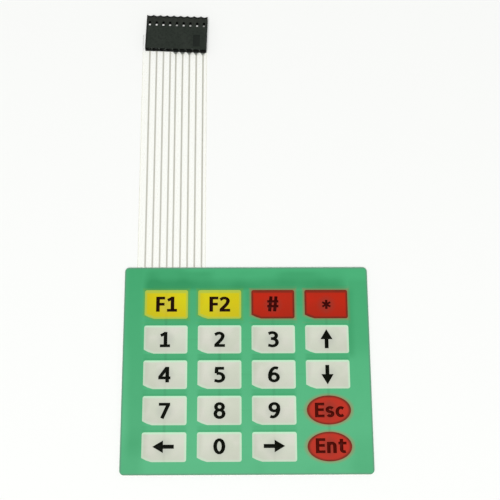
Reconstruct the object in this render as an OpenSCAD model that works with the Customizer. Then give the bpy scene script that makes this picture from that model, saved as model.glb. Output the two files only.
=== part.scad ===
// Flat membrane keypad: a printed overlay over two circuit films and a spacer,
// with a flexible tail that ends in a crimped pin-socket connector.
// Sizes are in millimetres. The origin is the middle of the rear face, +Y runs
// along the tail and +Z comes out of the keys.

/* [Keypad] */
// Width of the pad
pad_w = 85; // [84:0.5:100]
// Height of the pad
pad_h = 72; // [70:0.5:90]
// Radius of the pad's corners
corner_r = 1.5; // [0.5:0.25:3.5]
// Distance from the pad's top edge down to the first row of keys
top_margin = 8.2; // [8:0.1:9.2]

/* [Keys] */
// Width of a printed key
key_w = 15; // [12:0.5:17]
// Height of a printed key
key_h = 9.9; // [8.5:0.1:11.5]
// Height that the keys of the top row have more than the others
top_key_extra = 0.4; // [0:0.1:0.8]
// Distance between key columns
key_pitch_x = 18.55; // [17.5:0.05:18.8]
// Distance between key rows
key_pitch_y = 12.3; // [11.8:0.1:12.8]
// Radius of a printed key's corners
key_r = 0.8; // [0.3:0.1:1.5]
// Width of the cut-off lower left corner of a printed key
key_cut_w = 3.4; // [2:0.1:5]
// Height of the cut-off lower left corner of a printed key
key_cut_h = 1.4; // [1:0.1:2.5]

/* [Layers] */
// Thickness of the paper that covers the rear adhesive
liner_t = 0.12; // [0.08:0.01:0.2]
// Thickness of the rear adhesive
rear_adhesive_t = 0.13; // [0.1:0.01:0.25]
// Thickness of each circuit film
film_t = 0.125; // [0.1:0.005:0.18]
// Thickness of the spacer between the circuit films
spacer_t = 0.15; // [0.12:0.01:0.2]
// Thickness of the adhesive under the overlay
overlay_adhesive_t = 0.05; // [0.03:0.01:0.1]
// Thickness of the printed overlay
overlay_t = 0.18; // [0.12:0.01:0.25]
// Thickness of the colour print on the overlay
print_t = 0.02; // [0.01:0.005:0.04]

/* [Circuit] */
// Radius of the round hole that the spacer has under each key
well_r = 3.5; // [3:0.1:4.2]
// Width of the air channel that joins the holes of a column
vent_w = 1.4; // [1.3:0.1:2]
// Radius of a silver contact pad
contact_pad_r = 2.5; // [2:0.1:2.8]
// Thickness of the silver print
silver_t = 0.02; // [0.01:0.005:0.04]
// Width of the silver lines through the keys
key_line_w = 0.5; // [0.4:0.05:0.8]
// Width of the silver lines in the margins and the tail
lead_w = 0.6; // [0.4:0.05:0.8]
// Distance between silver lines in the margins
bus_pitch = 1.1; // [1:0.05:1.2]
// Distance from the pad's edge to the nearest silver line's middle
bus_edge = 4.2; // [3.6:0.1:4.4]

/* [Tail] */
// Width of the tail
tail_w = 24; // [23.5:0.1:26]
// Distance from the pad's left edge to the tail
tail_left = 4.2; // [3:0.1:5]
// Length of the tail between the pad and the connector
tail_len = 85; // [50:1:150]
// Length of the tail that stays flat next to the pad
flat_at_pad = 4; // [2:0.5:8]
// Length of the tail that stays flat behind the connector
flat_at_connector = 6; // [4:0.5:10]
// Length of the tail inside the connector
tail_insert = 6.4; // [6.1:0.1:6.6]
// Sideways step between the printed columns and the connector's contacts
column_step = 0.45; // [0:0.05:0.5]

/* [Connector] */
// Distance between contacts
pin_pitch = 2.54; // [2.5:0.01:2.6]
// Length of the connector housing
housing_l = 14; // [13.6:0.1:16]
// Height of the connector housing
housing_h = 2.6; // [2.6:0.1:3.2]
// Sideways offset of the connector from the middle of the tail
connector_offset = 0.3; // [0:0.1:0.6]
// Angle by which the connector was crimped askew
connector_skew = 2.1; // [0:0.1:3]
// Radius of the round hole that a pin goes in by
entry_r = 0.5; // [0.45:0.01:0.55]
// Radius of the funnel round each pin hole, at the front face
funnel_r = 1.95; // [1.5:0.05:1.95]
// Depth of the funnel
funnel_l = 1.3; // [1.2:0.05:1.35]
// Width of the latch window over each contact
window_w = 0.95; // [0.95:0.05:1.5]
// Length of the latch window over each contact
window_l = 1.8; // [1.7:0.1:2.4]
// Distance from the front face to the middle of the windows
window_from_front = 3.6; // [3.4:0.1:3.8]

/* [Contacts] */
// Thickness of the contact's sheet metal
sheet_t = 0.2; // [0.15:0.01:0.22]
// Outer width of the contact's pin box
box_w = 1.7; // [1.5:0.05:1.8]
// Outer height of the contact's pin box
box_h = 1.8; // [1.7:0.05:1.9]
// Length of the contact's pin box
box_l = 3.2; // [3.1:0.1:3.4]
// Length of the tab that shows behind the housing, on the contacts crimped from above
rear_tab = 1.7; // [1:0.1:2]
// Length of the same tab on the contacts crimped from below, which were cut shorter
short_tab = 0.4; // [0.3:0.1:0.8]
// Width of the latch that springs up into the window
latch_w = 0.8; // [0.6:0.05:0.9]
// Height of the latch's free end above the box
latch_h = 0.35; // [0.2:0.05:0.45]
// Width of the spring tongue inside the box
spring_w = 0.9; // [0.7:0.05:1]
// Gap that the spring tongue leaves for the pin
pin_gap = 0.55; // [0.45:0.05:0.6]

/* [Hidden] */
$fn = 48;

columns = 4;
rows = 5;
leads = columns + rows;
eps = 0.01;

// Heights of the layers' undersides
z_adhesive = liner_t;
z_lower = z_adhesive + rear_adhesive_t;
z_spacer = z_lower + film_t;
z_upper = z_spacer + spacer_t;
z_overlay_adhesive = z_upper + film_t;
z_overlay = z_overlay_adhesive + overlay_adhesive_t;
z_print = z_overlay + overlay_t;
laminate_t = 2 * film_t + spacer_t;

// Where the keys are
grid_top = pad_h / 2 - top_margin - top_key_extra - key_h / 2;
function column_x(c) = (c - (columns - 1) / 2) * key_pitch_x;
function row_y(r) = grid_top - r * key_pitch_y;

// Where the tail and the connector are
tail_x = -pad_w / 2 + tail_left + tail_w / 2;
connector_x = tail_x + connector_offset;
connector_y = pad_h / 2 + tail_len;
tail_end = connector_y + tail_insert;
housing_w = leads * pin_pitch;
pin_z = housing_h / 2;
function contact_x(i) = (i - (leads - 1) / 2) * pin_pitch;
function lead_x(i) = connector_x + contact_x(i) + crimp_mid * sin(connector_skew)
                     + (i < columns ? column_step : 0);

// Silver lines in the margins: the longest way round is the outermost line
function column_bus_y(c) = pad_h / 2 - bus_edge - (columns - 1 - c) * bus_pitch;
function row_bus_y(r) = pad_h / 2 - bus_edge - (rows - 1 - r) * bus_pitch;
function row_bus_x(r) = -pad_w / 2 + bus_edge + (rows - 1 - r) * bus_pitch;

// The tail rises in a smooth S from the pad to the middle of the housing
lift_h = pin_z - (z_lower + laminate_t / 2);
lift_from = pad_h / 2 + flat_at_pad;
lift_to = connector_y - flat_at_connector;
lift_steps = 16;
tail_root = pad_h / 2 - 1;
function lift(u) = lift_h * (1 - cos(180 * u)) / 2;
function lift_y(u) = lift_from + (lift_to - lift_from) * u;
tail_stations = concat([[tail_root, 0]],
                       [for (k = [0:lift_steps]) [lift_y(k / lift_steps), lift(k / lift_steps)]]);

// Landing of each silver line under its contact
landing_w = 2.1;
landing_from = connector_y + 0.3;

// The contact, measured forward from the housing's rear edge
plate_w = 1.6;
plate_from = 0.3;
plate_l = 5.1;
crimp_mid = plate_from + plate_l / 2;
claw_w = 0.9;
claw_y = [1.3, 3.7];
claw_reach = 0.45;
neck_w = 1;
tab_w = 1.8;
tab_waist_w = 1.1;
tab_tip_w = 0.5;
box_from = 7.2;
cavity_w = 2;
cavity_gap = 0.1;
slot_depth = 7.2;
slot_gap = 0.05;
cavity_end = box_from + box_l + cavity_gap;
window_from = housing_l - window_from_front - window_l / 2;
latch_l = 0.7;
latch_gap = 0.3;
roof_hole_w = 1;

// The spring tongue, measured back from the front of the box: its bend, the
// start and end of the flat that touches the pin, and its tip
bend_at = 0.4;
flat_from = 1.5;
flat_to = 2;
tip_at = 2.8;
tip_rise = 0.3;

// Shallow mark on the housing's face, over the last contact but one
mark_w = 2.6;
mark_l = 4.8;
mark_from = 1.3;
mark_depth = 0.1;
mark_x = contact_x(leads - 2);

// Round notch in the housing's rear edge behind each contact
notch_r = 0.95;
notch_depth = 0.12;

// Shared outlines

module pad_outline() {
    square([pad_w, pad_h - 2 * corner_r], center = true);
    square([pad_w - 2 * corner_r, pad_h], center = true);
    for (x = [-1, 1], y = [-1, 1])
        translate([x * (pad_w / 2 - corner_r), y * (pad_h / 2 - corner_r)]) circle(corner_r);
}

module layer(z, t) {
    translate([0, 0, z]) linear_extrude(t) pad_outline();
}

// A strip of the tail between two x places, from height z up, as thick as t
module tail_strip(x0, x1, z, t, to = tail_end) {
    ends = concat(tail_stations, [[to, lift_h]]);
    low = [for (p = ends) [p[0], p[1] + z]];
    high = [for (k = [len(ends) - 1:-1:0]) [ends[k][0], ends[k][1] + z + t]];
    translate([x0, 0, 0]) rotate([90, 0, 90]) linear_extrude(x1 - x0) polygon(concat(low, high));
}

module circuit_film(z) {
    difference() {
        union() {
            layer(z, film_t);
            tail_strip(tail_x - tail_w / 2, tail_x + tail_w / 2, z, film_t);
        }
        all_claws();
    }
}

// Key outlines: three round corners, and a slanting cut at the lower left
module key_field(extra) {
    w = key_w / 2;
    h = key_h / 2;
    difference() {
        union() {
            translate([-w, key_r - h]) square([key_w, key_h + extra - 2 * key_r]);
            translate([key_r - w, -h]) square([key_w - 2 * key_r, key_h + extra]);
            for (x = [key_r - w, w - key_r]) translate([x, h + extra - key_r]) circle(key_r);
            translate([w - key_r, key_r - h]) circle(key_r);
        }
        polygon([[-w - eps, -h - eps], [-w - eps, -h + key_cut_h],
                 [-w + key_cut_w * 0.45, -h + key_cut_h * 0.42], [-w + key_cut_w, -h - eps]]);
    }
}

module oval_field() {
    steps = 72;
    polygon([for (k = [0:steps - 1])
             [key_w / 2 * cos(360 * k / steps), key_h / 2 * sin(360 * k / steps)]]);
}

// Colour fields at a list of places, each given as column and row
module key_print(places) {
    for (p = places)
        translate([column_x(p[0]), row_y(p[1]), z_print]) linear_extrude(print_t)
            if (p[0] == columns - 1 && p[1] >= rows - 2) oval_field();
            else key_field(p[1] == 0 ? top_key_extra : 0);
}

// Silver print

module bar(x0, x1, y0, y1, w) {
    translate([min(x0, x1) - w / 2, min(y0, y1) - w / 2])
        square([abs(x1 - x0) + w, abs(y1 - y0) + w]);
}

module lead(i, z, t) {
    x = lead_x(i);
    tail_strip(x - lead_w / 2, x + lead_w / 2, z, t);
    translate([x - landing_w / 2, landing_from, z + lift_h])
        cube([landing_w, tail_end - landing_from, t]);
}

// Silver of a column, on the underside of the upper film. As a cutter it
// reaches past the spacer's face by the length proud.
module column_silver(c, proud = 0) {
    z = z_upper - silver_t;
    top = column_bus_y(c);
    translate([0, 0, z]) linear_extrude(silver_t + proud) {
        bar(column_x(c), column_x(c), row_y(rows - 1), row_y(0) + well_r, key_line_w);
        bar(column_x(c), column_x(c), row_y(0) + well_r, top, lead_w);
        bar(lead_x(c), column_x(c), top, top, lead_w);
        bar(lead_x(c), lead_x(c), top, pad_h / 2 - lead_w / 2, lead_w);
        for (r = [0:rows - 1]) translate([column_x(c), row_y(r)]) circle(contact_pad_r);
    }
    lead(c, z, silver_t + proud);
}

// Silver of a row, on the top of the lower film
module row_silver(r, proud = 0) {
    i = leads - 1 - r;
    z = z_spacer - proud;
    top = row_bus_y(r);
    side = row_bus_x(r);
    translate([0, 0, z]) linear_extrude(silver_t + proud) {
        bar(column_x(0), column_x(columns - 1), row_y(r), row_y(r), key_line_w);
        bar(side, column_x(0), row_y(r), row_y(r), lead_w);
        bar(side, side, row_y(r), top, lead_w);
        bar(side, lead_x(i), top, top, lead_w);
        bar(lead_x(i), lead_x(i), top, pad_h / 2 - lead_w / 2, lead_w);
        for (c = [0:columns - 1]) translate([column_x(c), row_y(r)]) circle(contact_pad_r);
    }
    lead(i, z, silver_t + proud);
}

module column_trace(c) {
    color("silver") difference() {
        column_silver(c);
        all_claws();
    }
}

module row_trace(r) {
    color("silver") difference() {
        row_silver(r);
        all_claws();
    }
}

// Pad layers, from the rear face up

module release_liner() {
    color("ivory") layer(0, liner_t);
}

module rear_adhesive() {
    color("gainsboro") layer(z_adhesive, rear_adhesive_t);
}

module lower_circuit_film() {
    color("aliceblue") circuit_film(z_lower);
}

// The spacer holds the films apart, with a round well under each key, air
// channels between the wells of a column, and grooves that the silver fills
module circuit_spacer() {
    color("whitesmoke") difference() {
        union() {
            layer(z_spacer, spacer_t);
            tail_strip(tail_x - tail_w / 2, tail_x + tail_w / 2, z_spacer, spacer_t);
        }
        for (c = [0:columns - 1]) translate([0, 0, z_spacer - eps]) linear_extrude(spacer_t + 2 * eps) {
            for (r = [0:rows - 1]) translate([column_x(c), row_y(r)]) circle(well_r);
            bar(column_x(c), column_x(c), row_y(rows - 1) + vent_w / 2, row_y(0) - vent_w / 2, vent_w);
        }
        for (c = [0:columns - 1]) column_silver(c, eps);
        for (r = [0:rows - 1]) row_silver(r, eps);
        all_claws();
    }
}

module upper_circuit_film() {
    color("aliceblue") circuit_film(z_upper);
}

module overlay_adhesive() {
    color("gainsboro") layer(z_overlay_adhesive, overlay_adhesive_t);
}

module graphic_overlay() {
    color("mediumseagreen") layer(z_overlay, overlay_t);
}

module white_key_print() {
    color("whitesmoke") key_print([for (r = [1:rows - 1], c = [0:columns - 1])
                                   if (c < columns - 1 || r < rows - 2) [c, r]]);
}

module yellow_key_print() {
    color("gold") key_print([[0, 0], [1, 0]]);
}

module red_key_print() {
    color("firebrick") key_print([[2, 0], [3, 0], [3, 3], [3, 4]]);
}

// Connector

// Puts a child at the housing's rear edge, turned with the askew housing
module at_connector() {
    translate([connector_x, connector_y, pin_z]) rotate(-connector_skew) children();
}

// A staple of sheet metal across the laminate: two legs and tips bent inwards
module claw_pair(y) {
    leg_h = sheet_t + laminate_t;
    for (side = [-1, 1]) {
        translate([side * (plate_w - sheet_t) / 2 - sheet_t / 2, y, -laminate_t / 2 - sheet_t])
            cube([sheet_t, claw_w, leg_h + sheet_t]);
        translate([side > 0 ? plate_w / 2 - claw_reach : -plate_w / 2, y, laminate_t / 2])
            cube([claw_reach, claw_w, sheet_t]);
    }
}

module crimp(tab_l) {
    translate([-plate_w / 2, plate_from, -laminate_t / 2 - sheet_t])
        cube([plate_w, plate_l, sheet_t]);
    for (y = claw_y) claw_pair(y);
    // rear tab, narrowing to its tip
    translate([0, 0, -laminate_t / 2 - sheet_t]) linear_extrude(sheet_t)
        polygon([[-tab_w / 2, plate_from], [tab_w / 2, plate_from], [tab_w / 2, -tab_l * 0.5],
                 [tab_waist_w / 2, -tab_l * 0.68], [tab_tip_w / 2, -tab_l],
                 [-tab_tip_w / 2, -tab_l], [-tab_waist_w / 2, -tab_l * 0.68],
                 [-tab_w / 2, -tab_l * 0.5]]);
    // neck that steps from the crimp plate down to the floor of the box
    floor_z = -box_h / 2;
    plate_z = -laminate_t / 2 - sheet_t;
    neck_from = plate_from + plate_l - 0.4;
    neck_to = box_from + 0.4;
    translate([-neck_w / 2, 0, 0]) rotate([90, 0, 90]) linear_extrude(neck_w)
        polygon([[neck_from, plate_z], [plate_from + plate_l, plate_z], [box_from - 0.3, floor_z],
                 [neck_to, floor_z], [neck_to, floor_z + sheet_t],
                 [box_from - 0.2, floor_z + sheet_t],
                 [plate_from + plate_l + 0.1, plate_z + sheet_t], [neck_from, plate_z + sheet_t]]);
}

// The right-hand contacts are crimped on from above, the others from below
module crimp_side(i) {
    if (i < columns) crimp(short_tab);
    else mirror([0, 0, 1]) crimp(rear_tab);
}

module all_claws() {
    for (i = [0:leads - 1]) at_connector() translate([contact_x(i), 0, 0])
        mirror([0, 0, i < columns ? 0 : 1]) for (y = claw_y) claw_pair(y);
}

// The box that a pin slides into, with its spring tongue and its latch
module pin_box() {
    inner_w = box_w - 2 * sheet_t;
    inner_h = box_h - 2 * sheet_t;
    difference() {
        translate([-box_w / 2, box_from, -box_h / 2]) cube([box_w, box_l, box_h]);
        translate([-inner_w / 2, box_from - eps, -inner_h / 2])
            cube([inner_w, box_l + 2 * eps, inner_h]);
        // opening that the latch was cut from
        translate([-roof_hole_w / 2, window_from - latch_gap, 0])
            cube([roof_hole_w, latch_l + latch_gap, box_h]);
    }
    // latch cut out of the roof, bent up into the housing's window
    roof = box_h / 2;
    root = window_from + latch_l;
    translate([-latch_w / 2, 0, 0]) rotate([90, 0, 90]) linear_extrude(latch_w)
        polygon([[root + sheet_t, roof], [root, roof - sheet_t],
                 [window_from, roof + latch_h - sheet_t], [window_from, roof + latch_h],
                 [window_from + sheet_t, roof + latch_h]]);
    // spring tongue, folded back from the front of the box over the pin's way
    front = box_from + box_l;
    top = inner_h / 2;
    crown = -inner_h / 2 + pin_gap;
    translate([-spring_w / 2, 0, 0]) rotate([90, 0, 90]) linear_extrude(spring_w)
        polygon([[front, top + eps], [front - bend_at, top + eps], [front - bend_at, top],
                 [front - flat_from, crown + sheet_t], [front - flat_to, crown + sheet_t],
                 [front - tip_at, crown + tip_rise + sheet_t], [front - tip_at, crown + tip_rise],
                 [front - flat_to, crown], [front - flat_from, crown],
                 [front - bend_at, top - sheet_t], [front, top - sheet_t]]);
}

module contact(i) {
    color("lightgray") at_connector() translate([contact_x(i), 0, 0]) {
        pin_box();
        crimp_side(i);
    }
}

module housing_block() {
    w = housing_w / 2;
    h = housing_h / 2;
    bevel = 0.15;
    rotate([90, 0, 0]) mirror([0, 0, 1]) linear_extrude(housing_l)
        polygon([[-w, -h + bevel], [-w + bevel, -h], [w - bevel, -h], [w, -h + bevel],
                 [w, h - bevel], [w - bevel, h], [-w + bevel, h], [-w, h - bevel]]);
}

module window() {
    r = window_w / 2;
    translate([-r, window_from]) square([window_w, window_l - r]);
    translate([0, window_from + window_l - r]) circle(r);
}

// One contact's share of the hollow: cavity, pin hole, funnel, window and rear notch.
// In front of the contact's box the window goes down to the pin hole.
module contact_space() {
    floor_z = -box_h / 2;
    translate([-cavity_w / 2, -eps, floor_z])
        cube([cavity_w, cavity_end + eps, box_h + cavity_gap]);
    translate([0, housing_l, 0]) rotate([90, 0, 0]) cylinder(h = housing_l - cavity_end + eps, r = entry_r);
    translate([0, housing_l, 0]) rotate([90, 0, 0])
        cylinder(h = funnel_l, r1 = funnel_r, r2 = entry_r);
    linear_extrude(housing_h) window();
    translate([0, notch_depth - notch_r, -housing_h]) cylinder(h = 2 * housing_h, r = notch_r);
}

module connector_housing() {
    color("darkslategray") at_connector() difference() {
        housing_block();
        for (i = [0:leads - 1]) translate([contact_x(i), 0, 0]) contact_space();
        // shallow mark in the top face
        translate([mark_x - mark_w / 2, mark_from, housing_h / 2 - mark_depth])
            cube([mark_w, mark_l, 2 * mark_depth]);
        // slot for the tail, open at both sides
        translate([-housing_w, -eps, -laminate_t / 2 - slot_gap])
            cube([2 * housing_w, slot_depth + eps, laminate_t + 2 * slot_gap]);
    }
}

release_liner();
rear_adhesive();
lower_circuit_film();
for (r = [0:rows - 1]) row_trace(r);
circuit_spacer();
for (c = [0:columns - 1]) column_trace(c);
upper_circuit_film();
overlay_adhesive();
graphic_overlay();
white_key_print();
yellow_key_print();
red_key_print();
connector_housing();
for (i = [0:leads - 1]) contact(i);
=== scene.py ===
# Membrane keypad with a printed overlay, a clear tail and a crimped socket connector.
import bpy
import math
from mathutils import Euler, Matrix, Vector


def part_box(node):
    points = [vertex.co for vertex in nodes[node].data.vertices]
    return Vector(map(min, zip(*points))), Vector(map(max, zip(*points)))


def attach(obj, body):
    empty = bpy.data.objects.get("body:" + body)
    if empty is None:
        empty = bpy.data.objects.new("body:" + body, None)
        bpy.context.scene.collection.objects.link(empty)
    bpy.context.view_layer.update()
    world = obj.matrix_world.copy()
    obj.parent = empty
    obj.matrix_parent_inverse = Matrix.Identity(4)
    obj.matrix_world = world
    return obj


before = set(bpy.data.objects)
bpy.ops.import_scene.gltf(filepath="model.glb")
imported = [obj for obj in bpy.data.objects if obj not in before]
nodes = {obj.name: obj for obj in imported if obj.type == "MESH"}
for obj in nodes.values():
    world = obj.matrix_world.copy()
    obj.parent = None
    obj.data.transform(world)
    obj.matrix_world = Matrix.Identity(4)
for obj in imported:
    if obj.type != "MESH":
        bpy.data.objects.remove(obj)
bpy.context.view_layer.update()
mm = 0.001
print("stage: frame loaded,", len(nodes), "nodes")


def linear(red, green, blue):
    # colours are written as they look on screen, from 0 to 255
    def one(v):
        v = v / 255
        return v / 12.92 if v <= 0.04045 else ((v + 0.055) / 1.055) ** 2.4
    return (one(red), one(green), one(blue), 1)


# sizes shared by the prints and the materials, in millimetres
keypad = {
    "columns": 4,
    "rows": 5,
    "pitchX": 18.55,
    "pitchY": 12.3,
    "topRowY": 22.45,
    "keyWidth": 15,
    "keyHeight": 9.9,
    "topKeyExtra": 0.4,  # how much further up the top row's keys reach
    "cutWidth": 3.4,  # the slope that cuts each key's lower left corner
    "cutHeight": 1.4,
    "padWidth": 85,
    "padHeight": 72,
}


def columnX(column):
    return (column - (keypad["columns"] - 1) / 2) * keypad["pitchX"]


def rowY(row):
    return keypad["topRowY"] - row * keypad["pitchY"]


# shader maths
class Wire:
    # a socket that can be used in sums and products
    def __init__(self, shade, socket):
        self.shade = shade
        self.socket = socket

    def __add__(self, other):
        return self.shade.math("ADD", self, other)

    def __radd__(self, other):
        return self.shade.math("ADD", other, self)

    def __sub__(self, other):
        return self.shade.math("SUBTRACT", self, other)

    def __rsub__(self, other):
        return self.shade.math("SUBTRACT", other, self)

    def __mul__(self, other):
        return self.shade.math("MULTIPLY", self, other)

    def __rmul__(self, other):
        return self.shade.math("MULTIPLY", other, self)


def fill(tree, sockets, values):
    # sockets go by name, with _ for a space, or by number as in0, in1
    for key, value in values.items():
        numbered = key.startswith("in") and key[2:].isdigit()
        socket = sockets[int(key[2:]) if numbered else key.replace("_", " ")]
        if isinstance(value, Wire):
            value = value.socket
        if isinstance(value, bpy.types.Node):
            value = value.outputs[0]
        if isinstance(value, bpy.types.NodeSocket):
            tree.links.new(value, socket)
        else:
            socket.default_value = value


def addNode(tree, kind, settings=None, **values):
    made = tree.nodes.new(kind)
    for key, value in (settings or {}).items():
        setattr(made, key, value)
    fill(tree, made.inputs, values)
    return made


class Shade:
    # the nodes of one material, or of the sky, with its finished surface shader
    def __init__(self, owner, surface, **constants):
        self.owner = owner
        owner.use_nodes = True
        self.tree = owner.node_tree
        self.surface = self.tree.nodes[surface]
        self.finish(**constants)

    def node(self, kind, settings=None, output=0, **values):
        return Wire(self, addNode(self.tree, kind, settings, **values).outputs[output])

    def math(self, operation, first, second=0.0):
        return self.node("ShaderNodeMath", {"operation": operation}, in0=first, in1=second)

    def absolute(self, value):
        return self.math("ABSOLUTE", value)

    def largest(self, first, *others):
        for other in others:
            first = self.math("MAXIMUM", first, other)
        return first

    def smallest(self, first, *others):
        for other in others:
            first = self.math("MINIMUM", first, other)
        return first

    def mix(self, factor, first, second):
        colours = {"data_type": "RGBA"}
        return self.node("ShaderNodeMix", colours, output=2, in0=factor, in6=first, in7=second)

    def split(self, vector):
        first = self.node("ShaderNodeSeparateXYZ", in0=vector)
        return [Wire(self, socket) for socket in first.socket.node.outputs]

    def place(self):
        # object coordinates in millimetres, as three numbers
        coordinates = self.node("ShaderNodeTexCoord", output="Object")
        self.at = self.node("ShaderNodeVectorMath", {"operation": "SCALE"}, in0=coordinates, Scale=1 / mm)
        return self.split(self.at)

    def noise(self, size, detail, roughness=0.5, stretch=(1, 1, 1)):
        # noise from 0 to 1 whose lumps are about size millimetres across
        scaled = self.node("ShaderNodeMapping", Vector=self.at, Scale=stretch)
        return self.node("ShaderNodeTexNoise", Vector=scaled, Scale=1 / size, Detail=detail,
                         Roughness=roughness)

    def step(self, value, start, end):
        # smooth step from 0 at start to 1 at end
        settings = {"interpolation_type": "SMOOTHSTEP"}
        return self.node("ShaderNodeMapRange", settings, Value=value, From_Min=start, From_Max=end)

    def fade(self, value, start, end):
        # smooth step from 1 at start to 0 at end
        return 1 - self.step(value, start, end)

    def band(self, value, middle, halfWidth, soft):
        # 1 within halfWidth of the middle, falling to 0 over the soft edge
        return self.fade(self.absolute(value - middle), halfWidth - soft / 2, halfWidth + soft / 2)

    def bump(self, height, strength, distance):
        return self.node("ShaderNodeBump", Height=height, Strength=strength, Distance=distance * mm)

    def anyRay(self, *kinds):
        # 1 for a ray of any of these kinds
        return self.largest(*[self.node("ShaderNodeLightPath", output=f"Is {kind} Ray") for kind in kinds])

    def finish(self, **values):
        fill(self.tree, self.surface.inputs, values)
        return self.owner


def newMaterial(name, **constants):
    return Shade(bpy.data.materials.new(name), "Principled BSDF", **constants)


# In the dictionaries below a pair is a step, as (start, end), and three numbers are a band, as
# (middle, half width, soft edge), both in millimetres unless they are steps on a noise. A noise is
# (size, detail, roughness, stretch) or the first two or three of these, and a bump is (strength,
# distance).

# how the silver lines inside show through the print as darker lines, with painted shade of the slight
# ridges they raise
showThroughAndShade = {
    "columnLine": (0.1, 0.8),
    "columnsPast": {"across": 1, "along": 5},  # how far they run on past the outer keys' middles
    "columnDepth": 0.13,
    "rowLine": (0.1, 0.5),
    "rowsAcross": (-4, 32, 0.5),
    "rowsPast": 1,
    "rowDepth": 0.035,
    "endSoft": 0.2,
    "alongSoft": 1,
    "patchNoise": (11, 1),
    "patches": (0.35, 0.6),
    "patchDepth": 0.7,
    "leastDepth": 0.4,
}


def printedLines(shade, x, y):
    # how much darker the print is over the silver lines: their show-through and the painted shade of their
    # ridges
    look = showThroughAndShade
    past = look["columnsPast"]
    lowest = rowY(keypad["rows"] - 1)
    middle = (lowest + rowY(0)) / 2
    reach = (rowY(0) - lowest) / 2
    fromColumn = shade.math("PINGPONG", x - columnX(0), keypad["pitchX"] / 2)
    nearColumn = shade.fade(fromColumn, *look["columnLine"])
    inColumns = shade.band(x, 0, columnX(keypad["columns"] - 1) + past["across"], look["endSoft"])
    inColumns = inColumns * shade.band(y, middle, reach + past["along"], look["alongSoft"])
    fromRow = shade.math("PINGPONG", y - lowest, keypad["pitchY"] / 2)
    nearRow = shade.fade(fromRow, *look["rowLine"])
    inRows = shade.band(y, middle, reach + look["rowsPast"], look["endSoft"])
    inRows = shade.band(x, *look["rowsAcross"]) * inRows
    patchy = shade.step(shade.noise(*look["patchNoise"]), *look["patches"])
    patchy = patchy * look["patchDepth"] + look["leastDepth"]
    columns = nearColumn * inColumns * look["columnDepth"]
    rows = nearRow * inRows * look["rowDepth"]
    return patchy * (columns + rows)


def keyCell(shade, x, y):
    # place measured from the middle of the nearest key
    pitchX = keypad["pitchX"]
    pitchY = keypad["pitchY"]
    lowest = rowY(keypad["rows"] - 1) - pitchY / 2
    localX = shade.math("FLOORED_MODULO", x - columnX(0) + pitchX / 2, pitchX) - pitchX / 2
    localY = shade.math("FLOORED_MODULO", y - lowest, pitchY) - pitchY / 2
    return localX, localY


def keyEdge(shade, localX, localY, extra):
    # millimetres from a key's outline, below zero inside it
    halfWidth = keypad["keyWidth"] / 2
    halfHeight = keypad["keyHeight"] / 2
    run = keypad["cutWidth"]
    rise = keypad["cutHeight"]
    reach = math.hypot(run, rise)
    sides = shade.absolute(localX) - halfWidth
    above = localY - halfHeight - extra
    below = -1 * localY - halfHeight
    corner = (localX + halfWidth) * (-rise / reach) - (localY + halfHeight - rise) * (run / reach)
    return shade.largest(sides, above, below, corner)


def ovalEdge(shade, localX, localY):
    # the same for an oval key
    wide = localX * (2 / keypad["keyWidth"])
    high = localY * (2 / keypad["keyHeight"])
    return (shade.math("SQRT", wide * wide + high * high) - 1) * (keypad["keyHeight"] / 2)


# the printed film's fine grain, over slow waves
printGrain = {
    "grainNoise": (0.12, 2),
    "grainHeight": 0.25,
    "waveNoise": (16, 1),
    "waveHeight": 1.5,
    "bump": (0.25, 0.05),
}


def finishPrint(shade, colour, rough, roughSpread):
    # closes the material of a printed face
    grain = shade.noise(*printGrain["grainNoise"])
    waves = shade.noise(*printGrain["waveNoise"])
    height = grain * printGrain["grainHeight"] + waves * printGrain["waveHeight"]
    bumps = shade.bump(height, *printGrain["bump"])
    return shade.finish(Base_Color=colour, Roughness=(grain - 0.5) * roughSpread + rough, Normal=bumps)


# overlay film
overlayLook = {
    "top": linear(71, 171, 116),
    "bottom": linear(90, 180, 130),
    "shade": linear(50, 144, 92),
    "line": linear(30, 70, 50),
    "rim": linear(96, 143, 118),
    "rimInward": (0.2, 0.75),
    "rimShare": 0.75,
    "cloudNoise": (9, 3, 0.55),
    "cloudShare": 0.4,
    "specular": 0.12,
    "rough": 0.42,
    "roughSpread": 0.12,
}
# its darker places, each with the share of the shade tone that it takes
overlayDusk = {
    "topBand": (29.5, 2.0, 3.4),
    "topBandShare": 0.5,
    "topAcross": (-0.5, 34.5, 7),
    "topFrom": (27, 29),
    "topTo": (33.5, 35.6),
    "topPatchNoise": (15, 1),
    "topPatches": (0.38, 0.62),
    "topPatchShare": 0.4,
    "topShare": 0.1,
    "firstKey": (-28.5, 7, 5),
    "firstKeyShare": 0.36,
    "topRowFrom": (14, 18),
    "topRowShare": 0.22,
    "redHalf": (-1, 1),
    "redFrom": (16, 27),
    "redShare": 0.3,
    "keysAcross": (0, 35.5, 1),
    "rightMargin": (34.8, 36.2),
    "rightFrom": (1, 10),
    "rightTo": (30, 33),
    "rightShare": 0.28,
    "leftMargin": (-39, 3.0, 3),
    "leftFrom": (-34, -24),
    "leftShare": 0.32,
    "leftShift": 1.6,  # how far the left line moves in, below the upper keys
    "leftShiftBelow": (0, 15),
    "cornersAcross": (33, 37.5),
    "cornersBelow": (-29, -19),
    "cornersShare": 0.24,
    "lowest": (-34, -30),
    "lowestShare": 0.07,
    "wobbleNoise": (14, 2),
    "wobble": {"top": 0.6, "left": 0.4, "reach": 1.6},
}


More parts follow.
